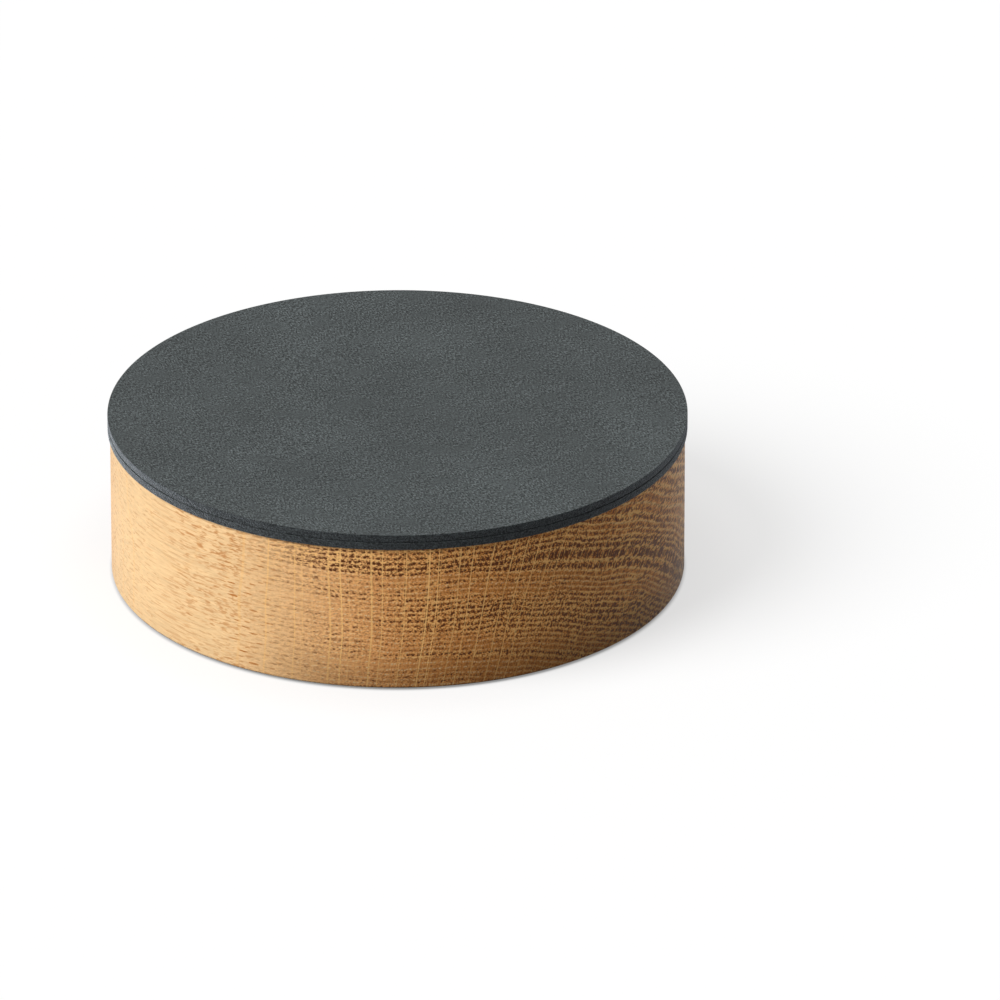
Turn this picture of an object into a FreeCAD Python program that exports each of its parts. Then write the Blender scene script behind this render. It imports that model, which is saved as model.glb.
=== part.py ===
"""Round keepsake box: a turned oak body with a lift-off lid of two leather layers.

The origin is at the middle of the underside, where the box stands, and +Z is up.
The lid lifts off along +Z. All lengths are in millimetres.
"""
import FreeCAD, Part
import os

# Lid: two leather layers with a thin stiffener between them
lid_diameter = 140.0
leather_thickness = 1.7
core_thickness = 0.5
# how far the stiffener's edge lies inside the leather's, which shows as the line in the lid's edge
core_setback = 0.35
leather_edge_round = 0.3

# Oak body: one block, turned outside and hollowed from above
lid_overhang = 0.6
body_height = 36.8
wall_thickness = 9.0
floor_thickness = 7.0
hollow_corner_round = 1.0
mouth_chamfer = 0.8
rim_edge_round = 0.3
foot_edge_round = 0.6

# Plug under the lid, which centres it in the mouth of the hollow
plug_thickness = 5.0
plug_clearance = 0.5
plug_chamfer = 0.6
plug_liner_thickness = 1.2
plug_liner_margin = 1.4

# Leather disc on the floor of the hollow
floor_liner_thickness = 1.4
floor_liner_clearance = 0.3
liner_edge_round = 0.25

# Felt disc let into the underside, which the box stands on
pad_thickness = 1.2
pad_proud = 0.4
pad_margin = 3.0
pad_clearance = 0.2

# How far a cutter runs past the face that it enters
cut_overrun = 1.0
# two measures nearer than this are the same one
same_measure = 0.001

# Worked out from the sizes above
lid_radius = lid_diameter / 2
body_radius = lid_radius - lid_overhang
hollow_radius = body_radius - wall_thickness
oak_bottom = pad_proud
oak_top = oak_bottom + body_height
hollow_floor = oak_bottom + floor_thickness
plug_radius = hollow_radius - plug_clearance
pad_radius = body_radius - pad_margin
pad_recess_depth = pad_thickness - pad_proud


def disc(radius, bottom, height):
    """A round disc on the box's axis, standing on the level given."""
    return Part.makeCylinder(radius, height, FreeCAD.Vector(0, 0, bottom))


def rim(shape, radius, level):
    """The circular edges of a shape that have this radius and lie at this level."""
    found = []
    for edge in shape.Edges:
        if isinstance(edge.Curve, Part.Circle):
            same_radius = abs(edge.Curve.Radius - radius) < same_measure
            same_level = abs(edge.Curve.Center.z - level) < same_measure
            if same_radius and same_level:
                found.append(edge)
    return found


def rounded_disc(radius, bottom, height, edge_round):
    """A disc whose upper and lower rims are both rounded off."""
    plain = disc(radius, bottom, height)
    both_rims = rim(plain, radius, bottom) + rim(plain, radius, bottom + height)
    return plain.makeFillet(edge_round, both_rims)


def oak_body():
    """The turned body: hollow from above, with a shallow recess below for the felt."""
    block = disc(body_radius, oak_bottom, body_height)
    hollow = disc(hollow_radius, hollow_floor, oak_top - hollow_floor + cut_overrun)
    hollow = hollow.makeFillet(hollow_corner_round, rim(hollow, hollow_radius, hollow_floor))
    recess = disc(pad_radius + pad_clearance, oak_bottom - cut_overrun, pad_recess_depth + cut_overrun)
    body = block.cut(hollow).cut(recess)
    body = body.makeChamfer(mouth_chamfer, rim(body, hollow_radius, oak_top))
    body = body.makeFillet(rim_edge_round, rim(body, body_radius, oak_top))
    return body.makeFillet(foot_edge_round, rim(body, body_radius, oak_bottom))


def lid_plug():
    """The disc that drops into the mouth, with its lower rim chamfered to lead it in."""
    plain = disc(plug_radius, oak_top - plug_thickness, plug_thickness)
    return plain.makeChamfer(plug_chamfer, rim(plain, plug_radius, oak_top - plug_thickness))


core_bottom = oak_top + leather_thickness
top_leather_bottom = core_bottom + core_thickness
plug_liner_bottom = oak_top - plug_thickness - plug_liner_thickness

nodes = {
    "oak_body": oak_body(),
    "floor_liner": rounded_disc(
        hollow_radius - hollow_corner_round - floor_liner_clearance,
        hollow_floor,
        floor_liner_thickness,
        liner_edge_round,
    ),
    "base_pad": disc(pad_radius, 0, pad_thickness),
    "lid_bottom_leather": rounded_disc(lid_radius, oak_top, leather_thickness, leather_edge_round),
    "lid_core": disc(lid_radius - core_setback, core_bottom, core_thickness),
    "lid_top_leather": rounded_disc(lid_radius, top_leather_bottom, leather_thickness, leather_edge_round),
    "lid_plug": lid_plug(),
    "plug_liner": rounded_disc(
        plug_radius - plug_liner_margin,
        plug_liner_bottom,
        plug_liner_thickness,
        liner_edge_round,
    ),
}

os.makedirs("parts", exist_ok=True)
for name, shape in nodes.items():
    shape.exportStep(f"parts/{name}.step")
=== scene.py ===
"""Looks of a round oak keepsake box with a leather lid, laid out as an add-on and run as a script.

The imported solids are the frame. Each operator models one piece, or a group of like pieces, over its
solid, and gives it its finish. Lengths are in metres, and the patterns of wood, leather and felt are
worked out in millimetres of the box's own frame.
"""

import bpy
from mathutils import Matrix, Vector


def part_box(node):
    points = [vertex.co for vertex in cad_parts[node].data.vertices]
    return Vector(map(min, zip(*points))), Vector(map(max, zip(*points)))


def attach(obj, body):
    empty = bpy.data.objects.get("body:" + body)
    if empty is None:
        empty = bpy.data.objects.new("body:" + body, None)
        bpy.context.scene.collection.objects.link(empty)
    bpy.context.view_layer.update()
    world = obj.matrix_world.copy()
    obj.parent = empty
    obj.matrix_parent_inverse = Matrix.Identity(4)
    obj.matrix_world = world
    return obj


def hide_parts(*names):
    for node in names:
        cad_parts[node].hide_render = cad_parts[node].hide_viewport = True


bl_info = {
    "name": "Oak keepsake box",
    "version": (1, 0, 0),
    "blender": (4, 5, 0),
    "location": "View3D > Sidebar > Keepsake Box",
    "description": "Models and finishes the pieces of a round oak box with a leather lid",
    "category": "Add Mesh",
}

import math

import bmesh
import bpy
from bpy.props import FloatProperty, FloatVectorProperty, IntProperty, PointerProperty
from mathutils import Vector

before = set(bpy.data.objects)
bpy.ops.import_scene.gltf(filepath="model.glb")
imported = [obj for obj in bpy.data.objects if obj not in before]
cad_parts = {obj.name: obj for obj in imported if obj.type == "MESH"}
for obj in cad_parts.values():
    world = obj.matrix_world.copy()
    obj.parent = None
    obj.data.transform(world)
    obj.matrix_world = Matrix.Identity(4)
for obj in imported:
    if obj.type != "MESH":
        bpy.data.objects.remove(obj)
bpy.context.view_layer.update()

MM = 0.001
PER_MM = 1000.0


def solid_radius(node):
    """The radius of a round solid, from its box."""
    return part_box(node)[1].x


def solid_bottom(node):
    """The level of a solid's underside."""
    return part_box(node)[0].z


def solid_top(node):
    """The level of a solid's upper side."""
    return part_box(node)[1].z


# Properties that a user would change


def length(name, description, millimetres):
    """A length property, whose default is given in millimetres."""
    return FloatProperty(
        name=name, description=description, default=millimetres * MM, min=0.0, unit="LENGTH", precision=5
    )


def colour(name, description, red, green, blue):
    """A colour property, in linear light."""
    return FloatVectorProperty(
        name=name, description=description, default=(red, green, blue), subtype="COLOR", min=0.0, max=1.0
    )


def share(name, description, value):
    """A property between nought and one."""
    return FloatProperty(
        name=name, description=description, default=value, min=0.0, max=1.0, subtype="FACTOR"
    )


def angle(name, description, degrees):
    """An angle property, whose default is given in degrees."""
    return FloatProperty(name=name, description=description, default=math.radians(degrees), unit="ROTATION")


class BoxShape(bpy.types.PropertyGroup):
    """Sizes of the edges and fits that the solids' boxes don't tell."""

    segments: IntProperty(name="Segments", description="Sides of each turned piece", default=360, min=48)
    round_steps: IntProperty(name="Round steps", description="Faces across a rounded edge", default=4, min=1)
    plug_clearance: length("Plug clearance", "Gap between the lid's plug and the hollow's wall", 0.5)
    pad_clearance: length("Pad clearance", "Gap between the felt and the wall of its recess", 0.2)
    mouth_chamfer: length("Mouth chamfer", "Chamfer round the hollow's mouth", 0.8)
    rim_round: length("Rim round", "Rounding of the oak's upper outer edge", 0.3)
    foot_round: length("Foot round", "Rounding of the oak's lower outer edge", 0.6)
    hollow_round: length("Hollow round", "Rounding where the hollow's wall meets its floor", 1.0)
    leather_round: length("Leather round", "Rounding of the lid's cut leather edges", 0.15)
    seam_round: length("Seam round", "Rounding of the lid's leather edges beside the board", 0.1)
    seam_lip: length("Seam lip", "How far the leather's edge curls over the board", 0.12)
    seam_lip_width: length("Seam lip width", "Width of the leather that curls over the board", 0.2)
    liner_round: length("Liner round", "Rounding of the liners' cut edges", 0.25)
    plug_chamfer: length("Plug chamfer", "Chamfer that leads the plug into the mouth", 0.6)
    felt_round: length("Felt round", "Rounding of the felt's edge", 0.3)
    hide_ring: length("Hide ring", "Width of the rings of faces across a leather disc", 2.5)
    hide_swell: length("Hide swell", "How far the leather's face rises and falls", 0.12)
    hide_swell_size: length("Hide swell size", "Breadth of the leather's rises and falls", 22.0)
    cut_waver: length("Cut waver", "How far a cut leather edge wavers in and out", 0.06)
    cut_waver_size: length("Cut waver size", "Length of a cut edge's waver", 5.0)


class OakFinish(bpy.types.PropertyGroup):
    """The oak's colours and figure."""

    side_colour: colour("Side grain", "Oak where the wall runs along the fibres", 0.91, 0.615, 0.32)
    end_colour: colour("End grain", "Oak where the wall cuts across the fibres", 0.8, 0.3, 0.066)
    pore_colour: colour("Pores", "Open pores of the early wood", 0.1, 0.028, 0.005)
    ray_colour: colour("Rays", "Pale rays that cross the year rings", 0.99, 0.58, 0.21)
    fibre_turn: angle("Fibre turn", "Turn of the fibres from the front to the right", 40.0)
    pith_aside: length("Pith aside", "How far left of the axis the tree's pith lay, across the fibres", 42.0)
    pith_below: length("Pith below", "How far under the box the tree's pith lay", 114.0)
    ring_width: length("Ring width", "Width of a year ring", 1.35)
    pore_pitch: length("Pore pitch", "Distance between the pores of a row", 1.0)
    ray_pitch: length("Ray pitch", "Distance between broad rays", 3.2)


class LeatherFinish(bpy.types.PropertyGroup):
    """The leather's colours and grain."""

    face_colour: colour("Face", "Slate-grey grain side", 0.0546, 0.0631, 0.0639)
    edge_colour: colour("Cut edge", "Dyed cut edge", 0.026, 0.03, 0.031)
    liner_colour: colour("Liner", "Leather of the two liners", 0.07, 0.078, 0.081)
    pebble: length("Pebble", "Size of the grain's pebbles", 0.34)
    grain_turn: angle("Grain turn", "Turn of the grain's long way about the box's axis", -23.0)
    mottle: length("Mottle", "Breadth of the faint clouds of lighter and darker colour", 28.0)


class OtherFinish(bpy.types.PropertyGroup):
    """Colours of the hidden pieces."""

    board_colour: colour("Board", "Dark fibre board between the leather layers", 0.05, 0.056, 0.058)
    veneer_colour: colour("Veneer", "Birch veneers of the plug", 0.66, 0.5, 0.32)
    glue_colour: colour("Glue line", "Dark glue lines between the veneers", 0.2, 0.11, 0.05)
    felt_colour: colour("Felt", "Wool felt under the box", 0.06, 0.062, 0.066)
    veneer: length("Veneer", "Thickness of one veneer", 1.0)


class StageLook(bpy.types.PropertyGroup):
    """Camera, lamps and floor."""

    distance: length("Distance", "From the camera to the box", 3449.0)
    aim_height: length("Aim height", "Level on the box's axis that the camera circles", 20.4)
    elevation: angle("Elevation", "How far above the level the camera stands", 25.34)
    pan: angle("Pan", "Turn of the camera to the right of the box", 0.4544)
    tilt: angle("Tilt", "Turn of the camera below the box", 0.049)
    lens: FloatProperty(name="Lens", description="Focal length in millimetres", default=513.3, min=1.0)
    key_turn: angle("Key turn", "How far left of the camera the main lamp stands", 63.0)
    key_height: angle("Key height", "How far above the level the main lamp stands", 42.0)
    key_spread: angle("Key spread", "How wide the main lamp looks from the box", 40.0)
    key_strength: FloatProperty(name="Key strength", description="Main lamp's strength", default=3.5, min=0.0)
    sky_strength: share("Sky strength", "Even light from all round", 0.25)
    floor_colour: colour("Floor", "Colour that the floor throws back on the box", 0.29, 0.29, 0.29)
    floor_glow: share("Floor glow", "White that the floor shows to the camera besides its light", 0.715)
    floor_size: length("Floor size", "Side of the floor", 12000.0)


class KeepsakeBox(bpy.types.PropertyGroup):
    """All that can be set on the box."""

    shape: PointerProperty(type=BoxShape)
    oak: PointerProperty(type=OakFinish)
    leather: PointerProperty(type=LeatherFinish)
    other: PointerProperty(type=OtherFinish)
    stage: PointerProperty(type=StageLook)


# Shader nodes


class Graph:
    """Adds and links the nodes of one shader tree, and hands back their output sockets."""

    def __init__(self, tree):
        self.tree = tree

    def node(self, kind, **settings):
        """A new node, with its settings."""
        made = self.tree.nodes.new(kind)
        for name, value in settings.items():
            setattr(made, name, value)
        return made

    def feed(self, socket, value):
        """Links an output to a socket, or sets the socket to a plain value."""
        if isinstance(value, bpy.types.NodeSocket):
            self.tree.links.new(value, socket)
        elif value is not None:
            socket.default_value = value

    def math(self, operation, *values):
        """One step of arithmetic."""
        made = self.node("ShaderNodeMath", operation=operation)
        for socket, value in zip(made.inputs, values):
            self.feed(socket, value)
        return made.outputs[0]

    def add(self, first, second):
        return self.math("ADD", first, second)

    def take(self, first, second):
        return self.math("SUBTRACT", first, second)

    def times(self, first, second):
        return self.math("MULTIPLY", first, second)

    def over(self, first, second):
        return self.math("DIVIDE", first, second)

    def diagonal(self, first, second):
        """The long side of the right-angled triangle on two lengths."""
        squares = self.add(self.times(first, first), self.times(second, second))
        return self.math("SQRT", squares)

    def rise(self, value, low, high, start=0.0, end=1.0):
        """Goes smoothly from start to end as the value goes from low to high."""
        made = self.node("ShaderNodeMapRange", interpolation_type="SMOOTHSTEP")
        names = ("Value", "From Min", "From Max", "To Min", "To Max")
        for name, given in zip(names, (value, low, high, start, end)):
            self.feed(made.inputs[name], given)
        return made.outputs["Result"]

    def curve(self, value, points):
        """Runs smoothly through heights at the places given, both in the value's own measure."""
        first, last = points[0][0], points[-1][0]
        made = self.node("ShaderNodeValToRGB")
        made.color_ramp.interpolation = "EASE"
        stops = made.color_ramp.elements
        while len(stops) < len(points):
            stops.new(0.5)
        for stop, (place, height) in zip(stops, points):
            stop.position = (place - first) / (last - first)
            stop.color = (height, height, height, 1.0)
        self.feed(made.inputs[0], self.over(self.take(value, first), last - first))
        return made.outputs[0]

    def spread(self, value, low, high):
        """Stretches a value between nought and one to run from low to high."""
        return self.math("MULTIPLY_ADD", value, high - low, low)

    def vector(self, x, y, z):
        made = self.node("ShaderNodeCombineXYZ")
        for socket, value in zip(made.inputs, (x, y, z)):
            self.feed(socket, value)
        return made.outputs[0]

    def parts(self, vector):
        made = self.node("ShaderNodeSeparateXYZ")
        self.feed(made.inputs[0], vector)
        return made.outputs[0], made.outputs[1], made.outputs[2]

    def scaled(self, vector, factors):
        made = self.node("ShaderNodeVectorMath", operation="MULTIPLY")
        self.feed(made.inputs[0], vector)
        self.feed(made.inputs[1], factors)
        return made.outputs[0]

    def dot(self, first, second):
        made = self.node("ShaderNodeVectorMath", operation="DOT_PRODUCT")
        self.feed(made.inputs[0], first)
        self.feed(made.inputs[1], second)
        return made.outputs["Value"]

    def noise(self, vector, size, detail=2.0, roughness=0.5):
        """Clouds of about this size, as (value, colour)."""
        made = self.node("ShaderNodeTexNoise")
        self.feed(made.inputs["Vector"], vector)
        self.feed(made.inputs["Scale"], 1.0 / size)
        self.feed(made.inputs["Detail"], detail)
        self.feed(made.inputs["Roughness"], roughness)
        return made.outputs[0], made.outputs[1]

    def cells(self, vector, randomness=1.0):
        """Scattered points one unit apart, as (distance to the nearest, its random colour)."""
        made = self.node("ShaderNodeTexVoronoi")
        self.feed(made.inputs["Vector"], vector)
        self.feed(made.inputs["Scale"], 1.0)
        self.feed(made.inputs["Randomness"], randomness)
        return made.outputs["Distance"], made.outputs["Color"]

    def marks(self, along, randomness=1.0):
        """Scattered marks along a line, one unit apart, as (distance to the nearest, its random colour)."""
        made = self.node("ShaderNodeTexVoronoi", voronoi_dimensions="1D")
        self.feed(made.inputs["W"], along)
        self.feed(made.inputs["Scale"], 1.0)
        self.feed(made.inputs["Randomness"], randomness)
        return made.outputs["Distance"], made.outputs["Color"]

    def chance(self, number):
        """A random value that is the same for the same number."""
        made = self.node("ShaderNodeTexWhiteNoise", noise_dimensions="1D")
        self.feed(made.inputs["W"], number)
        return made.outputs["Value"]

    def mix(self, mask, first, second, blend="MIX"):
        """The first colour where the mask is nought, the second where it is one."""
        made = self.node("ShaderNodeMix", data_type="RGBA", blend_type=blend)
        self.feed(made.inputs[0], mask)
        self.feed(made.inputs[6], first)
        self.feed(made.inputs[7], second)
        return made.outputs[2]

    def shade(self, base, value):
        """A colour made lighter or darker by a value about one."""
        grey = self.node("ShaderNodeCombineColor")
        for socket in grey.inputs:
            self.feed(socket, value)
        return self.mix(1.0, base, grey.outputs[0], "MULTIPLY")


SOCKETS = {"value": "NodeSocketFloat", "vector": "NodeSocketVector", "colour": "NodeSocketColor"}


def new_group(name, takes, gives):
    """A shader node group with named sockets, as (graph, inputs, outputs)."""
    tree = bpy.data.node_groups.new(name, "ShaderNodeTree")
    for socket, kind in takes.items():
        tree.interface.new_socket(socket, in_out="INPUT", socket_type=SOCKETS[kind])
    for socket, kind in gives.items():
        tree.interface.new_socket(socket, in_out="OUTPUT", socket_type=SOCKETS[kind])
    graph = Graph(tree)
    entry = graph.node("NodeGroupInput")
    leave = graph.node("NodeGroupOutput")
    return graph, entry.outputs, leave.inputs


def place_group(graph, tree, **values):
    """One use of a node group in a material, with its own values, as its outputs."""
    made = graph.node("ShaderNodeGroup", node_tree=tree)
    for name, value in values.items():
        graph.feed(made.inputs[name.replace("_", " ")], value)
    return made.outputs


def new_material(name):
    """A material with one Principled BSDF, as (material, graph, shader)."""
    made = bpy.data.materials.new(name)
    made.use_nodes = True
    graph = Graph(made.node_tree)
    shader = made.node_tree.nodes["Principled BSDF"]
    return made, graph, shader


def millimetres(graph, turn=0.0):
    """The piece's own coordinates in millimetres, turned about the box's axis."""
    source = graph.node("ShaderNodeTexCoord")
    mapping = graph.node("ShaderNodeMapping", vector_type="POINT")
    graph.feed(mapping.inputs["Vector"], source.outputs["Object"])
    graph.feed(mapping.inputs["Rotation"], (0.0, 0.0, turn))
    graph.feed(mapping.inputs["Scale"], (PER_MM, PER_MM, PER_MM))
    return mapping.outputs["Vector"]


# How shiny oiled oak and grained leather are, and how shiny cut fibres are
SATIN_GLOSS = 0.16
FIBRE_GLOSS = 0.05

# Depth of each surface's relief
OAK_RELIEF = 0.12 * MM
GRAIN_RELIEF = 0.07 * MM
CUT_RELIEF = 0.35 * MM
FIBRE_RELIEF = 0.15 * MM
VENEER_RELIEF = 0.08 * MM


def facing(graph):
    """The surface's own direction."""
    return graph.node("ShaderNodeNewGeometry").outputs["Normal"]


def relief(graph, shader, height, depth):
    """Raises the surface by a height between nought and one, times a depth."""
    bump = graph.node("ShaderNodeBump")
    graph.feed(bump.inputs["Height"], height)
    graph.feed(bump.inputs["Distance"], depth)
    graph.feed(shader.inputs["Normal"], bump.outputs["Normal"])


def dress(graph, shader, look, gloss, depth):
    """Feeds a pattern's colour, roughness and height to a shader, with a gloss that is the same all over."""
    graph.feed(shader.inputs["Base Color"], look["Colour"])
    graph.feed(shader.inputs["Roughness"], look["Roughness"])
    graph.feed(shader.inputs["Specular IOR Level"], gloss)
    relief(graph, shader, look["Height"], depth)


def rgba(value):
    """A colour property with full alpha."""
    return (value[0], value[1], value[2], 1.0)


# Node groups


# Years in which the oak grew more open, as (level in millimetres, openness), to the left and to the right
LEFT_YEARS = (
    (0, 0.25), (8, 0.25), (9.5, 0.5), (11.5, 0.25), (14, 0.4), (20, 0.45), (22.5, 0.3), (25, 0.35),
    (25.8, 0.75), (26.8, 0.4), (30, 0.5), (31.5, 0.75), (36, 0.8), (40, 0.75),
)
RIGHT_YEARS = (
    (0, 0.3), (7.5, 0.3), (9.3, 0.85), (11, 0.35), (14, 0.5), (17, 0.9), (22, 0.9), (25, 0.5),
    (29.5, 0.4), (31.5, 0.85), (34, 1.0), (37.5, 0.95), (40, 0.65), (46, 0.55), (60, 0.7),
)


class OakGrowth:
    """Works out solid oak step by step: how it grew, and how it looks where it is cut.

    Place is in millimetres: sideways, along the fibres, and up. The rings bend about a pith below the
    box, and flatten out to the left of it. Each step keeps its masks for the steps after it.
    """

    # Width over which the rings go from flat to bent, level at which the rays keep their place, and
    # how much more than the rings' own slope the rays lean
    flat_stretch = 16.0
    middle_height = 18.0
    ray_slant = 1.45
    # Breadth, detail and reach of the growth's wavering
    slow_waver = (34.0, 1.0, 5.0)
    quick_waver = (9.0, 1.0, 1.3)
    fine_waver = (2.2, 2.0, 0.55)
    # Level up to which painted shade darkens the cut end, and how much it darkens it at the foot
    foot_height = 14.0
    foot_darkening = 0.36

    def __init__(self, graph, given):
        self.graph = graph
        self.given = given
        self.place = given["Place"]
        self.drawn_out = graph.scaled(self.place, (1.0, 0.12, 1.0))
        self.end_share = given["End Share"]
        self.cut_share = graph.rise(self.end_share, 0.0, 0.6)

    def waver(self, aside, up, place, size, detail, reach):
        """Sways the growth to and fro, sideways and up."""
        graph = self.graph
        sway = graph.parts(graph.noise(place, size, detail, 0.6)[1])
        aside = graph.add(aside, graph.spread(sway[0], -reach / 2, reach / 2))
        return aside, graph.add(up, graph.spread(sway[1], -reach / 2, reach / 2))

    def from_pith(self, aside, up, slant):
        """Distance from the pith, and along a ring."""
        graph = self.graph
        past_pith = graph.add(aside, self.given["Pith Aside"])
        eased = graph.times(graph.add(past_pith, graph.diagonal(past_pith, self.flat_stretch)), 0.5)
        above_pith = graph.add(up, self.given["Pith Below"])
        lean = graph.times(graph.over(eased, above_pith), slant)
        across = graph.take(aside, graph.times(graph.take(up, self.middle_height), lean))
        return graph.diagonal(eased, above_pith), across

    def grow(self):
        """Where each point lay in the tree. The rays follow the slow wavering only, the rings all of it."""
        wandering = self.graph.scaled(self.place, (1.0, 0.22, 1.0))
        aside, self.along, up = self.graph.parts(self.place)
        aside, up = self.waver(aside, up, self.drawn_out, *self.slow_waver)
        self.spoke = self.from_pith(aside, up, self.ray_slant)[1]
        aside, up = self.waver(aside, up, self.drawn_out, *self.quick_waver)
        self.aside, self.up = self.waver(aside, up, wandering, *self.fine_waver)
        self.radius, self.across = self.from_pith(self.aside, self.up, 1.0)

    def count_years(self):
        """Year rings of uneven width, broader high up on the right, and the place within a ring."""
        graph = self.graph
        drift = graph.noise(graph.vector(self.radius, 0.0, 0.0), 7.0, 1.0)[0]
        ring = graph.add(graph.over(self.radius, self.given["Ring Width"]), graph.spread(drift, -0.45, 0.45))
        self.level = graph.take(self.radius, self.given["Pith Below"])
        slower = graph.rise(self.level, 29.0, 38.0, 0.0, 2.6)
        slower = graph.add(slower, graph.rise(self.level, 38.0, 62.0, 0.0, 5.6))
        self.ring = graph.take(ring, graph.times(slower, graph.rise(self.aside, -40.0, -5.0)))
        self.year = graph.math("FLOOR", self.ring)
        self.phase = graph.take(graph.math("FRACT", self.ring), 0.5)

    def open_years(self):
        """How open the oak grew, by its level, its year and its patch."""
        graph = self.graph
        left = graph.curve(self.level, LEFT_YEARS)
        right = graph.curve(self.level, RIGHT_YEARS)
        to_right = graph.rise(self.aside, -52.0, -36.0)
        vigour = graph.add(left, graph.times(graph.take(right, left), to_right))
        vigour = graph.add(vigour, graph.spread(graph.chance(self.year), -0.15, 0.15))
        patch = graph.vector(graph.times(self.radius, 0.2), graph.times(self.across, 0.06), 0.0)
        patches = graph.noise(patch, 1.0, 1.0)[0]
        vigour = graph.add(vigour, graph.spread(patches, -0.35, 0.35))
        self.vigour = graph.add(vigour, graph.rise(self.aside, -65.0, -60.0, 0.3, 0.0))
        self.close = graph.rise(self.vigour, 0.3, 0.75, 1.0, 0.0)

    def row_of_dots(self, pitch_share, centre, seed, sizes, stray, flatter=1.1):
        """A row of dots to each ring, as (distance beyond the nearest dot's edge, its luck)."""
        graph = self.graph
        pitch = graph.times(self.given["Pore Pitch"], pitch_share)
        shift = graph.times(graph.chance(graph.add(self.year, seed)), 31.0)
        gap, luck = graph.marks(graph.add(graph.over(self.across, pitch), shift), 0.85)
        place_luck, size_luck, show_luck = graph.parts(luck)
        off_row = graph.add(graph.take(self.phase, centre), graph.spread(place_luck, -stray, stray))
        rise_off = graph.times(graph.times(off_row, self.given["Ring Width"]), flatter)
        size = graph.spread(size_luck, *sizes)
        return graph.take(graph.diagonal(graph.times(gap, pitch), rise_off), size), show_luck

    def fill_rows(self):
        """Large pores in the early wood, then small pores, pale specks, and pores cut lengthwise."""
        graph, vigour = self.graph, self.vigour
        beyond, luck = self.row_of_dots(
            pitch_share=1.0, centre=-0.18, seed=0.31, sizes=(0.24, 0.36), stray=0.12
        )
        beyond = graph.take(beyond, graph.spread(vigour, -0.12, 0.06))
        shown = graph.rise(graph.add(vigour, graph.times(luck, 0.4)), 0.2, 0.9, 0.1, 1.0)
        large = graph.times(graph.rise(beyond, -0.1, 0.06, 1.0, 0.0), shown)
        beyond, luck = self.row_of_dots(
            pitch_share=0.6, centre=0.14, seed=0.77, sizes=(0.1, 0.24), stray=0.16
        )
        shown = graph.times(graph.spread(luck, 0.3, 1.0), graph.spread(vigour, 0.2, 0.85))
        small = graph.times(graph.rise(beyond, -0.08, 0.08, 1.0, 0.0), shown)
        self.pore = graph.math("MAXIMUM", large, small)
        beyond, luck = self.row_of_dots(
            pitch_share=0.62, centre=0.36, seed=0.53, sizes=(0.16, 0.26), stray=0.14
        )
        self.speck = graph.times(graph.rise(beyond, -0.06, 0.05, 1.0, 0.0), graph.spread(luck, 0.4, 1.0))
        beyond, luck = self.row_of_dots(
            pitch_share=1.5, centre=-0.1, seed=0.93, sizes=(0.32, 0.6), stray=0.2, flatter=2.4
        )
        self.groove = graph.times(graph.rise(beyond, -0.14, 0.04, 1.0, 0.0), graph.spread(luck, 0.5, 1.1))

    def bundle_fibres(self):
        """Bundles of fibres, which give the cut end its fine speckle, wider on the right."""
        graph = self.graph
        bundle = graph.vector(
            graph.over(self.across, 0.6), graph.times(self.ring, 2.3), graph.times(self.along, 0.1)
        )
        gap, luck = graph.cells(bundle, 0.9)
        self.bundles = graph.add(graph.spread(graph.parts(luck)[0], -0.2, 0.4), graph.times(gap, -0.3))
        fine = graph.noise(graph.scaled(self.place, (1.0, 0.1, 1.0)), 0.4, 1.0, 0.5)[0]
        wide = graph.noise(graph.scaled(self.place, (0.35, 0.1, 1.0)), 0.5, 1.0, 0.5)[0]
        widening = graph.rise(self.aside, -15.0, 25.0)
        self.grit = graph.add(fine, graph.times(graph.take(wide, fine), widening))
        fleck = graph.add(graph.spread(self.grit, -2.2, 2.2), self.bundles)
        self.fleck = graph.times(fleck, graph.rise(self.aside, -45.0, 20.0, 1.0, 1.9))

    def ray_lines(self, pitch_share, thinnest, thickest, blur, faintest):
        """Pale lines of uneven width that cross the rings."""
        graph = self.graph
        pitch = graph.times(self.given["Ray Pitch"], pitch_share)
        gap, luck = graph.marks(graph.over(self.spoke, pitch), 0.6)
        width_luck, show_luck = graph.parts(luck)[:2]
        half = graph.spread(width_luck, thinnest, thickest)
        line = graph.rise(graph.take(graph.times(gap, pitch), half), -blur, blur, 1.0, 0.0)
        return graph.times(line, graph.spread(show_luck, faintest, 1.0))

    def draw_rays(self):
        """Broad and narrow rays, which fade here and there, and on the right."""
        graph = self.graph
        broad = self.ray_lines(pitch_share=1.0, thinnest=0.07, thickest=0.14, blur=0.04, faintest=0.65)
        narrow = self.ray_lines(pitch_share=0.4, thinnest=0.03, thickest=0.08, blur=0.05, faintest=0.1)
        fade = graph.noise(graph.scaled(self.place, (0.25, 0.05, 0.045)), 1.0, 1.0)[0]
        ray = graph.math("MAXIMUM", broad, graph.times(narrow, 0.5))
        ray = graph.times(ray, graph.rise(fade, 0.25, 0.5, 0.7, 1.0))
        self.ray = graph.times(ray, graph.rise(self.aside, 0.0, 40.0, 1.0, 0.6))

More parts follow.
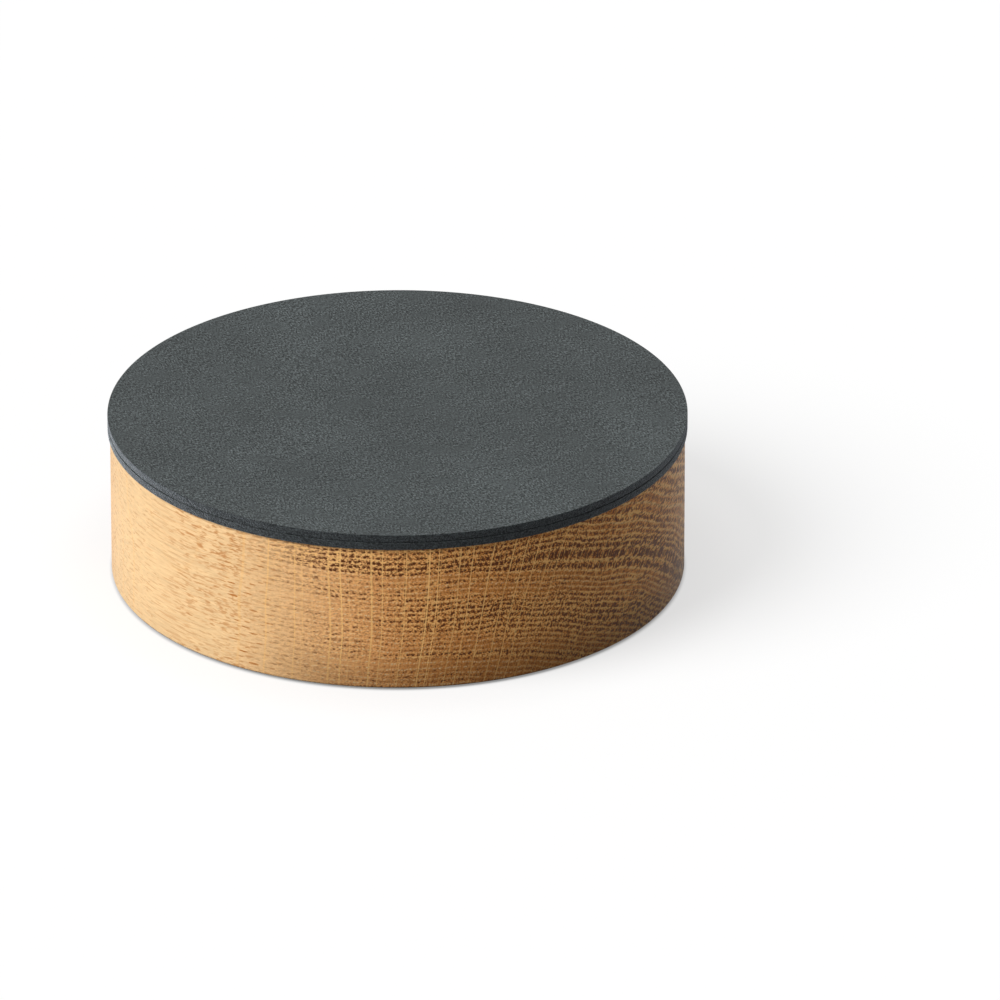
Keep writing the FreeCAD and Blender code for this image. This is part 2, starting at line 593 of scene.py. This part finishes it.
    def cut_across(self):
        """Light and dark on the cut end: rows, speckle, open pores, and pale beads in close-grown years."""
        graph, vigour, close = self.graph, self.vigour, self.close
        off_row = graph.math("ABSOLUTE", graph.add(self.phase, 0.16))
        off_row = graph.take(off_row, graph.times(vigour, 0.17))
        row_reach = graph.add(graph.spread(vigour, 0.1, 0.42), graph.rise(self.aside, -35.0, 5.0, 0.0, 0.1))
        row = graph.times(graph.rise(off_row, 0.05, 0.26, 1.0, 0.0), row_reach)
        off_late = graph.math("ABSOLUTE", graph.take(self.phase, 0.37))
        late = graph.rise(off_late, 0.04, 0.18, 0.95, 0.0)
        late = graph.times(late, graph.rise(self.aside, -35.0, 15.0))
        dust = graph.times(self.fleck, graph.spread(close, 1.0, 0.5))
        dust = graph.add(dust, graph.spread(close, 0.3, 0.0))
        light = graph.add(graph.add(graph.times(self.speck, graph.spread(close, 0.7, 0.0)), late), dust)
        self.light = graph.times(graph.take(light, row), self.cut_share)
        rough_row = graph.take(row, graph.times(self.fleck, graph.spread(vigour, 0.1, 1.0)))
        dusk = graph.times(graph.rise(vigour, 0.4, 1.0, 0.0, 0.16), graph.rise(self.aside, -50.0, -30.0))
        dark = graph.math("MAXIMUM", graph.math("MAXIMUM", self.pore, rough_row), dusk)
        self.dark = graph.times(dark, self.cut_share)
        self.beads = graph.times(graph.times(self.speck, close), self.cut_share)

    def cut_along(self):
        """Dashes on the side, where pores are cut along their length, and a patch of darker strokes."""
        graph, vigour = self.graph, self.vigour
        broken = graph.noise(graph.scaled(self.place, (1.0, 0.18, 1.0)), 0.9, 1.0)[0]
        hair = graph.noise(graph.scaled(self.place, (1.0, 0.05, 1.0)), 0.4, 1.0)[0]
        hair = graph.rise(hair, 0.62, 0.74, 0.0, 0.5)
        dash = graph.times(graph.rise(vigour, 0.0, 0.5, 0.25, 1.0), graph.rise(broken, 0.32, 0.44, 0.1, 1.0))
        dash = graph.times(dash, graph.rise(self.end_share, 0.0, 0.05, 0.4, 1.0))
        dash = graph.math("MAXIMUM", graph.times(dash, self.groove), hair)
        strokes = graph.noise(graph.scaled(self.place, (1.0, 0.16, 1.0)), 0.55, 1.0, 0.6)[0]
        stain = graph.times(graph.rise(vigour, 0.35, 0.8, 0.0, 0.75), graph.rise(strokes, 0.48, 0.64))
        stain = graph.times(stain, graph.rise(broken, 0.3, 0.5, 0.3, 1.0))
        stained = graph.rise(self.along, -30.0, -18.0)
        stained = graph.times(stained, graph.rise(self.along, -4.0, 8.0, 1.0, 0.0))
        dash = graph.math("MAXIMUM", dash, graph.times(stain, stained))
        self.dash = graph.times(dash, graph.take(1.0, self.cut_share))

    def colour(self):
        """The colour of the cut oak. Painted shade darkens its end towards the foot."""
        graph, given = self.graph, self.given
        side, end, pore, ray = (given[f"{name} Colour"] for name in ("Side", "End", "Pore", "Ray"))
        clouds = graph.noise(self.drawn_out, 18.0, 2.0)[0]
        self.streaks = graph.noise(graph.scaled(self.place, (1.0, 0.05, 1.0)), 0.7, 3.0, 0.6)[0]
        tone = graph.add(graph.spread(clouds, 0.9, 1.08), graph.spread(self.streaks, -0.25, 0.25))
        figured = graph.shade(graph.mix(self.end_share, side, end), tone)
        figured = graph.mix(self.dash, figured, graph.mix(0.4, end, pore))
        figured = graph.mix(self.light, figured, ray)
        between_beads = graph.times(self.close, self.cut_share)
        between_beads = graph.times(between_beads, graph.rise(self.aside, -55.0, -35.0))
        figured = graph.shade(figured, graph.spread(between_beads, 1.0, 0.82))
        figured = graph.mix(self.beads, figured, side)
        figured = graph.mix(self.dark, figured, pore)
        figured = graph.mix(graph.times(self.ray, graph.spread(self.cut_share, 0.35, 0.95)), figured, ray)
        # Painted shade: the cut end is darkened towards the foot, where the wall gets less light
        painted_foot_shade = graph.rise(self.up, 0.0, self.foot_height, self.foot_darkening, 0.0)
        return graph.shade(figured, graph.take(1.0, graph.times(self.cut_share, painted_foot_shade)))

    def height(self):
        """How high the surface stands: grit and bundles, with the open pores sunk in."""
        graph = self.graph
        grain = graph.add(graph.spread(self.grit, 1.0, 0.5), graph.times(self.bundles, -0.3))
        return graph.take(grain, graph.times(self.pore, graph.spread(self.cut_share, 0.1, 0.5)))


def wood_figure():
    """Solid wood with year rings, rows of pores, and rays, all running along the fibres."""
    graph, given, give = new_group(
        "wood_figure",
        {
            "Place": "vector",
            "End Share": "value",
            "Side Colour": "colour",
            "End Colour": "colour",
            "Pore Colour": "colour",
            "Ray Colour": "colour",
            "Pith Aside": "value",
            "Pith Below": "value",
            "Ring Width": "value",
            "Pore Pitch": "value",
            "Ray Pitch": "value",
        },
        {"Colour": "colour", "Roughness": "value", "Height": "value"},
    )
    oak = OakGrowth(graph, given)
    oak.grow()
    oak.count_years()
    oak.open_years()
    oak.fill_rows()
    oak.bundle_fibres()
    oak.draw_rays()
    oak.cut_across()
    oak.cut_along()
    graph.feed(give["Colour"], oak.colour())
    graph.feed(give["Roughness"], graph.spread(oak.streaks, 0.4, 0.54))
    graph.feed(give["Height"], oak.height())
    return graph.tree


def leather_grain():
    """Pebbled leather with faint clouds of colour. Place is in millimetres."""
    graph, given, give = new_group(
        "leather_grain",
        {"Place": "vector", "Colour": "colour", "Pebble": "value", "Mottle": "value"},
        {"Colour": "colour", "Roughness": "value", "Height": "value"},
    )
    unit = graph.over(1.0, given["Pebble"])
    long_unit = graph.times(unit, 0.45)
    small = graph.scaled(given["Place"], graph.vector(unit, long_unit, unit))
    gap = graph.cells(graph.scaled(small, (0.9, 0.9, 0.9)))[0]
    pebble = graph.rise(gap, 0.1, 0.75, 1.0, 0.0)
    fine = graph.noise(small, 1.0, 0.0, 0.5)[0]
    wide = graph.over(1.0, given["Mottle"])
    broad = graph.scaled(given["Place"], graph.vector(wide, wide, wide))
    clouds = graph.noise(broad, 1.0, 4.0, 0.6)[0]
    calm = graph.rise(graph.noise(broad, 0.2, 2.0)[0], 0.32, 0.5, 0.45, 1.05)
    grain = graph.add(graph.spread(fine, -0.92, 0.92), graph.spread(pebble, -0.05, 0.05))
    tone = graph.math("POWER", graph.math("MULTIPLY_ADD", grain, calm, 1.0), 2.0)
    tone = graph.times(tone, graph.spread(clouds, 0.58, 1.42))
    graph.feed(give["Colour"], graph.shade(given["Colour"], tone))
    graph.feed(give["Roughness"], graph.spread(pebble, 0.66, 0.54))
    graph.feed(give["Height"], graph.add(graph.spread(pebble, 0.0, 0.4), graph.spread(fine, 0.0, 0.6)))
    return graph.tree


def fibre_mat():
    """Short matted fibres, for felt and for the cut edges of leather and board. Place is in millimetres."""
    graph, given, give = new_group(
        "fibre_mat",
        {"Place": "vector", "Colour": "colour", "Fibre": "value", "Contrast": "value"},
        {"Colour": "colour", "Roughness": "value", "Height": "value"},
    )
    unit = graph.over(1.0, given["Fibre"])
    lying = graph.scaled(given["Place"], graph.vector(unit, unit, unit))
    swirl = graph.noise(lying, 4.0, 1.0)[1]
    bent = graph.node("ShaderNodeVectorMath", operation="MULTIPLY_ADD")
    graph.feed(bent.inputs[0], swirl)
    graph.feed(bent.inputs[1], (5.0, 5.0, 5.0))
    graph.feed(bent.inputs[2], lying)
    strands = graph.noise(graph.scaled(bent.outputs[0], (1.0, 1.0, 2.4)), 1.0, 4.0, 0.7)[0]
    specks = graph.noise(lying, 1.0, 2.0, 0.6)[0]
    weave = graph.add(graph.times(strands, 0.4), graph.times(specks, 0.6))
    swing = graph.times(graph.take(weave, 0.5), given["Contrast"])
    tone = graph.math("MAXIMUM", graph.add(swing, 1.0), 0.2)
    graph.feed(give["Colour"], graph.shade(given["Colour"], tone))
    graph.feed(give["Roughness"], graph.spread(weave, 0.5, 0.9))
    graph.feed(give["Height"], weave)
    return graph.tree


def shared_group(build):
    """The node group that a function builds, built once."""
    found = bpy.data.node_groups.get(build.__name__)
    return found or build()


# Materials


def oak_material(name, oak):
    """Oiled oak, figured through its whole depth. Its far side shows less end grain."""
    made, graph, shader = new_material(name)
    fibre_way = (math.sin(oak.fibre_turn), -math.cos(oak.fibre_turn), 0.0)
    along = graph.dot(facing(graph), fibre_way)
    far_end = graph.math("LESS_THAN", along, 0.0)
    low = graph.math("MULTIPLY_ADD", far_end, 0.25, 0.15)
    high = graph.math("MULTIPLY_ADD", far_end, 0.1, 1.0)
    figure = place_group(
        graph,
        shared_group(wood_figure),
        Place=millimetres(graph, -oak.fibre_turn),
        End_Share=graph.rise(graph.math("ABSOLUTE", along), low, high),
        Side_Colour=rgba(oak.side_colour),
        End_Colour=rgba(oak.end_colour),
        Pore_Colour=rgba(oak.pore_colour),
        Ray_Colour=rgba(oak.ray_colour),
        Pith_Aside=oak.pith_aside * PER_MM,
        Pith_Below=oak.pith_below * PER_MM,
        Ring_Width=oak.ring_width * PER_MM,
        Pore_Pitch=oak.pore_pitch * PER_MM,
        Ray_Pitch=oak.ray_pitch * PER_MM,
    )
    dress(graph, shader, figure, SATIN_GLOSS, OAK_RELIEF)
    return made


def leather_material(name, leather, face_colour):
    """The grain side of the leather."""
    made, graph, shader = new_material(name)
    face = place_group(
        graph,
        shared_group(leather_grain),
        Place=millimetres(graph, leather.grain_turn),
        Colour=rgba(face_colour),
        Pebble=leather.pebble * PER_MM,
        Mottle=leather.mottle * PER_MM,
    )
    dress(graph, shader, face, SATIN_GLOSS, GRAIN_RELIEF)
    return made


def fibre_material(
    name, base, fibre, contrast, sheen, sheen_roughness=0.32, sheen_tint=(1.0, 1.0, 1.0), depth=FIBRE_RELIEF
):
    """Matted fibres: felt, fibre board, or the cut edge of leather."""
    made, graph, shader = new_material(name)
    mat = place_group(
        graph,
        shared_group(fibre_mat),
        Place=millimetres(graph),
        Colour=rgba(base),
        Fibre=fibre,
        Contrast=contrast,
    )
    dress(graph, shader, mat, FIBRE_GLOSS, depth)
    graph.feed(shader.inputs["Sheen Weight"], sheen)
    graph.feed(shader.inputs["Sheen Roughness"], sheen_roughness)
    graph.feed(shader.inputs["Sheen Tint"], rgba(sheen_tint))
    return made


def plywood_material(name, other):
    """Birch plywood: pale veneers with thin glue lines, which show on the plug's edge."""
    made, graph, shader = new_material(name)
    place = millimetres(graph)
    up = graph.parts(place)[2]
    ply = graph.over(graph.take(up, solid_bottom("lid_plug") * PER_MM), other.veneer * PER_MM)
    phase = graph.math("FRACT", ply)
    line = graph.rise(graph.math("ABSOLUTE", graph.take(phase, 0.5)), 0.44, 0.49)
    luck = graph.chance(graph.math("FLOOR", ply))
    fibres = graph.noise(graph.scaled(place, (0.6, 0.6, 9.0)), 0.5, 3.0, 0.6)[0]
    tone = graph.add(graph.spread(luck, 0.82, 1.06), graph.spread(fibres, -0.14, 0.14))
    veneers = graph.shade(rgba(other.veneer_colour), tone)
    graph.feed(shader.inputs["Base Color"], graph.mix(line, veneers, rgba(other.glue_colour)))
    graph.feed(shader.inputs["Roughness"], graph.spread(fibres, 0.55, 0.75))
    relief(graph, shader, fibres, VENEER_RELIEF)
    return made


def shows_background(graph):
    """One for the rays that show the white background: seen straight, in gloss or through glass."""
    rays = graph.node("ShaderNodeLightPath")
    seen = graph.math("MAXIMUM", rays.outputs["Is Camera Ray"], rays.outputs["Is Glossy Ray"])
    return graph.math("MAXIMUM", seen, rays.outputs["Is Transmission Ray"])


def floor_material(stage):
    """A pale floor: it shows white with a painted contact shadow by the foot, keeps the shadow, and throws
    little light back, least by the box.
    """
    made = bpy.data.materials.new("pale_floor")
    made.use_nodes = True
    graph = Graph(made.node_tree)
    made.node_tree.nodes.remove(made.node_tree.nodes["Principled BSDF"])
    lit = graph.node("ShaderNodeBsdfDiffuse")
    glow = graph.node("ShaderNodeEmission")
    seen = shows_background(graph)
    aside, along = graph.parts(millimetres(graph))[:2]
    from_axis = graph.diagonal(aside, along)
    # Millimetres past the foot over which the painted contact shadow, its painted halo of shade and the
    # darker bounce by the wall end
    painted_contact_reach, painted_halo_reach, dark_reach = 0.8, 20.0, 30.0
    foot = solid_radius("oak_body") * PER_MM
    # Painted shadow: the white that the floor shows dims in a thin line at the foot and a faint halo round it
    painted_contact_shadow = graph.rise(from_axis, foot - painted_contact_reach, foot + painted_contact_reach, 0.4, 1.0)
    clear = graph.times(painted_contact_shadow, graph.rise(from_axis, foot, foot + painted_halo_reach, 0.93, 1.0))
    graph.feed(glow.inputs["Strength"], graph.times(graph.times(seen, clear), stage.floor_glow))
    thrown = graph.math("MAXIMUM", seen, graph.rise(from_axis, foot, foot + dark_reach, 0.1, 1.0))
    graph.feed(lit.inputs["Color"], graph.shade(rgba(stage.floor_colour), thrown))
    both = graph.node("ShaderNodeAddShader")
    graph.feed(both.inputs[0], lit.outputs[0])
    graph.feed(both.inputs[1], glow.outputs[0])
    graph.feed(made.node_tree.nodes["Material Output"].inputs["Surface"], both.outputs[0])
    return made


def sky_world(stage):
    """White to the camera and in gloss, and a gentle even light on everything else."""
    world = bpy.data.worlds.new("studio_sky")
    world.use_nodes = True
    graph = Graph(world.node_tree)
    seen = shows_background(graph)
    background = world.node_tree.nodes["Background"]
    graph.feed(background.inputs["Color"], (1.0, 1.0, 1.0, 1.0))
    graph.feed(background.inputs["Strength"], graph.math("MAXIMUM", seen, stage.sky_strength))
    return world


def finish_of(name, build, *values, **named):
    """A material by its name, built once."""
    found = bpy.data.materials.get(name)
    return found or build(name, *values, **named)


def cut_leather(leather):
    """The dyed cut edge of the leather, with its fibres showing and a cool bloom on them."""
    return finish_of(
        "cut_leather",
        fibre_material,
        leather.edge_colour,
        fibre=0.4,
        contrast=12.0,
        sheen=1.0,
        sheen_roughness=0.4,
        sheen_tint=(0.85, 0.92, 1.0),
        depth=CUT_RELIEF,
    )


# Modelling


def settings(context):
    """The box's properties in this scene."""
    return context.scene.keepsake_box


def blank(name, radius, bottom, top, segments):
    """A round blank on the box's axis, ready to be shaped."""
    bpy.ops.object.select_all(action="DESELECT")
    bpy.ops.mesh.primitive_cylinder_add(
        vertices=segments,
        radius=radius,
        depth=top - bottom,
        end_fill_type="NGON",
        location=(0.0, 0.0, (bottom + top) / 2),
    )
    piece = bpy.context.object
    piece.name = name
    piece.data.name = name
    bpy.ops.object.transform_apply(location=True, rotation=True, scale=True)
    bpy.ops.object.mode_set(mode="EDIT")
    return piece


# Two places nearer than this are the same one
NEAR = 1e-5
# Edges turned by more than this stay sharp
SHARPEST_ROUND = math.radians(40.0)
# How upright a flat face's direction is at least, and a cut edge's at most
FLAT_SHARE = 0.99
EDGE_SHARE = 0.75


def pick_face(piece, level, upward):
    """Selects the flat round face at a level that looks up or down. It has no hole in its middle."""
    bpy.ops.mesh.select_mode(type="FACE")
    bpy.ops.mesh.select_all(action="DESELECT")
    mesh = bmesh.from_edit_mesh(piece.data)
    found = 0
    for face in mesh.faces:
        middle = face.calc_center_median()
        flat = abs(face.normal.z) > FLAT_SHARE and (face.normal.z > 0) == upward
        if flat and abs(middle.z - level) < NEAR and middle.xy.length < NEAR:
            face.select_set(True)
            found += 1
    if found != 1:
        raise RuntimeError(f"{piece.name}: {found} round faces at level {level:.5f}")
    bmesh.update_edit_mesh(piece.data)


def pick_rim(piece, radius, level):
    """Selects the edges of one circle."""
    bpy.ops.mesh.select_mode(type="EDGE")
    bpy.ops.mesh.select_all(action="DESELECT")
    mesh = bmesh.from_edit_mesh(piece.data)
    found = 0
    for edge in mesh.edges:
        ends = [abs(v.co.z - level) < NEAR and abs(v.co.xy.length - radius) < NEAR for v in edge.verts]
        if all(ends):
            edge.select_set(True)
            found += 1
    if not found:
        raise RuntimeError(f"{piece.name}: no edges at radius {radius:.5f}, level {level:.5f}")
    bmesh.update_edit_mesh(piece.data)


def round_rim(piece, radius, level, size, steps):
    """Rounds off one circular edge, or chamfers it where there is one step."""
    pick_rim(piece, radius, level)
    bpy.ops.mesh.bevel(offset=size, offset_type="OFFSET", segments=steps, profile=0.5, affect="EDGES")


def sink(margin, depth):
    """Insets the selected face by a margin, and pushes what is inside it in by a depth."""
    bpy.ops.mesh.inset(thickness=margin, depth=0.0, use_even_offset=True)
    bpy.ops.mesh.extrude_region_move(TRANSFORM_OT_translate={"value": (0.0, 0.0, depth)})


def ring_face(piece, radius, level, upward, step):
    """Divides a flat round face into rings, so that it can swell."""
    pick_face(piece, level, upward)
    for _ in range(int(radius / step) - 1):
        bpy.ops.mesh.inset(thickness=step, depth=0.0, use_even_offset=True)


def leave_edit():
    """Ends the shaping, with all faces turned outward."""
    bpy.ops.mesh.select_all(action="SELECT")
    bpy.ops.mesh.normals_make_consistent(inside=False)
    bpy.ops.object.mode_set(mode="OBJECT")


def smooth(piece):
    """Shades a piece smooth across its rounded edges and flat across its faces."""
    bpy.ops.object.shade_smooth_by_angle(angle=SHARPEST_ROUND)
    bpy.ops.object.modifier_add(type="WEIGHTED_NORMAL")
    weighting = piece.modifiers[-1]
    weighting.keep_sharp = True
    weighting.weight = 100
    bpy.ops.object.modifier_apply(modifier=weighting.name)


def mark_points(piece, name, wanted):
    """A vertex group of the points that pass a test."""
    group = piece.vertex_groups.new(name=name)
    group.add([v.index for v in piece.data.vertices if wanted(v.co)], 1.0, "REPLACE")
    return group.name


def swell(piece, name, wanted, reach, size, direction):
    """Moves the marked points to and fro by soft clouds, up and down or in and out."""
    clouds = bpy.data.textures.new(f"{piece.name}_{name}", "CLOUDS")
    clouds.noise_scale = size
    clouds.noise_depth = 2
    bpy.ops.object.modifier_add(type="DISPLACE")
    mover = piece.modifiers[-1]
    mover.texture = clouds
    mover.texture_coords = "LOCAL"
    mover.strength = reach
    mover.mid_level = 0.5
    mover.direction = direction
    mover.vertex_group = mark_points(piece, name, wanted)
    bpy.ops.object.modifier_apply(modifier=mover.name)


def hand_over(piece, body, node, material, edge_material=None):
    """Gives a finished piece its materials and its body, and hides the solid that it stands for."""
    piece.data.materials.clear()
    piece.data.materials.append(material)
    if edge_material:
        piece.data.materials.append(edge_material)
        for face in piece.data.polygons:
            face.material_index = int(abs(face.normal.z) < EDGE_SHARE)
    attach(piece, body)
    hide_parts(node)


class KEEPSAKE_OT_oak_body(bpy.types.Operator):
    """Turn and hollow the oak body"""

    bl_idname = "keepsake.oak_body"
    bl_label = "Oak body"

    def execute(self, context):
        box = settings(context)
        shape = box.shape
        radius = solid_radius("oak_body")
        bottom, top = solid_bottom("oak_body"), solid_top("oak_body")
        hollow_radius = solid_radius("lid_plug") + shape.plug_clearance
        hollow_floor = solid_bottom("floor_liner")
        recess_radius = solid_radius("base_pad") + shape.pad_clearance
        recess_top = solid_top("base_pad")
        piece = blank("oak_turned_body", radius, bottom, top, shape.segments)
        pick_face(piece, top, True)
        sink(radius - hollow_radius, hollow_floor - top)
        pick_face(piece, bottom, False)
        sink(radius - recess_radius, recess_top - bottom)
        round_rim(piece, hollow_radius, top, shape.mouth_chamfer, 1)
        round_rim(piece, hollow_radius, hollow_floor, shape.hollow_round, shape.round_steps)
        round_rim(piece, radius, top, shape.rim_round, shape.round_steps)
        round_rim(piece, radius, bottom, shape.foot_round, shape.round_steps)
        leave_edit()
        smooth(piece)
        hand_over(piece, "box", "oak_body", finish_of("oiled_oak", oak_material, box.oak))
        return {"FINISHED"}


def curl_rim(piece, radius, level, upward, shape):
    """Curls a disc's rim a little way over the edge of the board beside it."""
    pick_face(piece, level, upward)
    bpy.ops.mesh.inset(thickness=shape.seam_lip_width, depth=0.0, use_even_offset=True)
    bpy.ops.mesh.select_mode(type="VERT")
    bpy.ops.mesh.select_all(action="DESELECT")
    mesh = bmesh.from_edit_mesh(piece.data)
    inner = radius - shape.seam_round - shape.seam_lip_width / 2
    for point in mesh.verts:
        if point.co.xy.length > inner and abs(point.co.z - level) < shape.seam_round + NEAR:
            point.select_set(True)
    bmesh.update_edit_mesh(piece.data)
    bpy.ops.transform.translate(value=(0.0, 0.0, shape.seam_lip if upward else -shape.seam_lip))


def leather_disc(name, node, shape, rounds, soft=None, seam=None):
    """A leather disc over its solid, with a wavering cut edge.

    Its sides are called upper and lower. Rounds holds the rounding of each side's rim, soft names the
    side whose face is seen and swells, and seam the side whose rim curls over the board.
    """
    radius = solid_radius(node)
    levels = {"upper": solid_top(node), "lower": solid_bottom(node)}
    piece = blank(name, radius, levels["lower"], levels["upper"], shape.segments)
    for side, level in levels.items():
        round_rim(piece, radius, level, rounds[side], shape.round_steps)
    if seam:
        curl_rim(piece, radius, levels[seam], seam == "upper", shape)
    if soft:
        ring_face(piece, radius - rounds[soft], levels[soft], soft == "upper", shape.hide_ring)
    leave_edit()
    if soft:
        inner = radius - rounds[soft] - shape.hide_ring / 2
        swell(
            piece, "face", lambda co: abs(co.z - levels[soft]) < NEAR and co.xy.length < inner,
            shape.hide_swell, shape.hide_swell_size, "Z",
        )
    swell(
        piece, "cut", lambda co: co.xy.length > radius - NEAR,
        shape.cut_waver, shape.cut_waver_size, "NORMAL",
    )
    smooth(piece)
    return piece


class KEEPSAKE_OT_lid_leather(bpy.types.Operator):
    """Cut the two leather layers of the lid and colour the board between them"""

    bl_idname = "keepsake.lid_leather"
    bl_label = "Lid leather"

    def execute(self, context):
        box = settings(context)
        leather = finish_of("pebbled_leather", leather_material, box.leather, box.leather.face_colour)
        cut = cut_leather(box.leather)
        outer, inner = box.shape.leather_round, box.shape.seam_round
        upper = leather_disc(
            "leather_lid_top", "lid_top_leather", box.shape,
            {"upper": outer, "lower": inner}, soft="upper", seam="lower",
        )
        hand_over(upper, "lid", "lid_top_leather", leather, cut)
        lower = leather_disc(
            "leather_lid_bottom", "lid_bottom_leather", box.shape,
            {"upper": inner, "lower": outer}, seam="upper",
        )
        hand_over(lower, "lid", "lid_bottom_leather", leather, cut)
        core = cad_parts["lid_core"]
        core.data.materials.clear()
        core.data.materials.append(
            finish_of(
                "fibre_board", fibre_material, box.other.board_colour, fibre=0.4, contrast=8.0, sheen=1.0
            )
        )
        return {"FINISHED"}


class KEEPSAKE_OT_liners(bpy.types.Operator):
    """Cut the leather liners of the hollow's floor and of the plug"""

    bl_idname = "keepsake.liners"
    bl_label = "Leather liners"

    def execute(self, context):
        box = settings(context)
        leather = finish_of("liner_leather", leather_material, box.leather, box.leather.liner_colour)
        cut = cut_leather(box.leather)
        rounds = {"upper": box.shape.liner_round, "lower": box.shape.liner_round}
        for name, node, body, soft in (
            ("leather_floor_liner", "floor_liner", "box", "upper"),
            ("leather_plug_liner", "plug_liner", "lid", "lower"),
        ):
            piece = leather_disc(name, node, box.shape, rounds, soft=soft)
            hand_over(piece, body, node, leather, cut)
        return {"FINISHED"}


class KEEPSAKE_OT_lid_plug(bpy.types.Operator):
    """Turn the plywood plug that centres the lid"""

    bl_idname = "keepsake.lid_plug"
    bl_label = "Lid plug"

    def execute(self, context):
        box = settings(context)
        radius = solid_radius("lid_plug")
        bottom, top = solid_bottom("lid_plug"), solid_top("lid_plug")
        piece = blank("plywood_plug", radius, bottom, top, box.shape.segments)
        round_rim(piece, radius, bottom, box.shape.plug_chamfer, 1)
        leave_edit()
        smooth(piece)
        veneers = finish_of("birch_veneers", plywood_material, box.other)
        hand_over(piece, "lid", "lid_plug", veneers)
        return {"FINISHED"}


class KEEPSAKE_OT_base_pad(bpy.types.Operator):
    """Cut the felt pad that the box stands on"""

    bl_idname = "keepsake.base_pad"
    bl_label = "Base pad"

    def execute(self, context):
        box = settings(context)
        radius = solid_radius("base_pad")
        bottom, top = solid_bottom("base_pad"), solid_top("base_pad")
        piece = blank("felt_base_pad", radius, bottom, top, box.shape.segments)
        round_rim(piece, radius, bottom, box.shape.felt_round, box.shape.round_steps)
        leave_edit()
        smooth(piece)
        felt = finish_of(
            "wool_felt", fibre_material, box.other.felt_colour, fibre=0.5, contrast=5.0, sheen=0.4
        )
        hand_over(piece, "box", "base_pad", felt)
        return {"FINISHED"}


class KEEPSAKE_OT_stage(bpy.types.Operator):
    """Lay the floor, and set up the camera and the lamps"""

    bl_idname = "keepsake.stage"
    bl_label = "Stage"

    def execute(self, context):
        stage = settings(context).stage
        scene = context.scene
        bpy.ops.object.select_all(action="DESELECT")
        bpy.ops.mesh.primitive_plane_add(size=stage.floor_size, location=(0.0, 0.0, 0.0))
        floor = context.object
        floor.name = "floor"
        floor.data.materials.append(floor_material(stage))
        scene.world = sky_world(stage)
        self.hang_lamp(context, stage)
        self.set_camera(context, stage)
        scene.view_settings.view_transform = "Standard"
        return {"FINISHED"}

    def hang_lamp(self, context, stage):
        """One broad soft lamp, high on the left."""
        bpy.ops.object.light_add(type="SUN", location=(0.0, 0.0, 1.0))
        lamp = context.object
        lamp.name = "key_lamp"
        lamp.data.energy = stage.key_strength
        lamp.data.angle = stage.key_spread
        level = math.cos(stage.key_height)
        towards = Vector((
            -math.sin(stage.key_turn) * level,
            -math.cos(stage.key_turn) * level,
            math.sin(stage.key_height),
        ))
        lamp.rotation_euler = towards.to_track_quat("Z", "Y").to_euler()

    def set_camera(self, context, stage):
        """A long lens in front of the box, turned a little to its right."""
        back = math.cos(stage.elevation) * stage.distance
        height = stage.aim_height + math.sin(stage.elevation) * stage.distance
        bpy.ops.object.camera_add(location=(0.0, -back, height))
        camera = context.object
        camera.name = "camera"
        camera.data.lens = stage.lens
        drop = stage.elevation + stage.tilt
        ahead = Vector((
            math.sin(stage.pan) * math.cos(drop),
            math.cos(stage.pan) * math.cos(drop),
            -math.sin(drop),
        ))
        camera.rotation_euler = ahead.to_track_quat("-Z", "Y").to_euler()
        context.scene.camera = camera


OPERATORS = (
    KEEPSAKE_OT_oak_body,
    KEEPSAKE_OT_lid_leather,
    KEEPSAKE_OT_liners,
    KEEPSAKE_OT_lid_plug,
    KEEPSAKE_OT_base_pad,
    KEEPSAKE_OT_stage,
)


class KEEPSAKE_PT_panel(bpy.types.Panel):
    """Lists the box's pieces and what can be set on them"""

    bl_idname = "KEEPSAKE_PT_panel"
    bl_label = "Keepsake Box"
    bl_space_type = "VIEW_3D"
    bl_region_type = "UI"
    bl_category = "Keepsake Box"

    def draw(self, context):
        for operator in OPERATORS:
            self.layout.operator(operator.bl_idname)
        box = settings(context)
        for group in (box.shape, box.oak, box.leather, box.other, box.stage):
            column = self.layout.box().column(align=True)
            for name in group.__annotations__:
                column.prop(group, name)


CLASSES = (
    BoxShape,
    OakFinish,
    LeatherFinish,
    OtherFinish,
    StageLook,
    KeepsakeBox,
    *OPERATORS,
    KEEPSAKE_PT_panel,
)


def register():
    for each in CLASSES:
        bpy.utils.register_class(each)
    bpy.types.Scene.keepsake_box = PointerProperty(type=KeepsakeBox)


def unregister():
    del bpy.types.Scene.keepsake_box
    for each in reversed(CLASSES):
        bpy.utils.unregister_class(each)


def main():
    register()
    for operator in OPERATORS:
        family, name = operator.bl_idname.split(".")
        getattr(getattr(bpy.ops, family), name)()


if __name__ == "__main__":
    main()
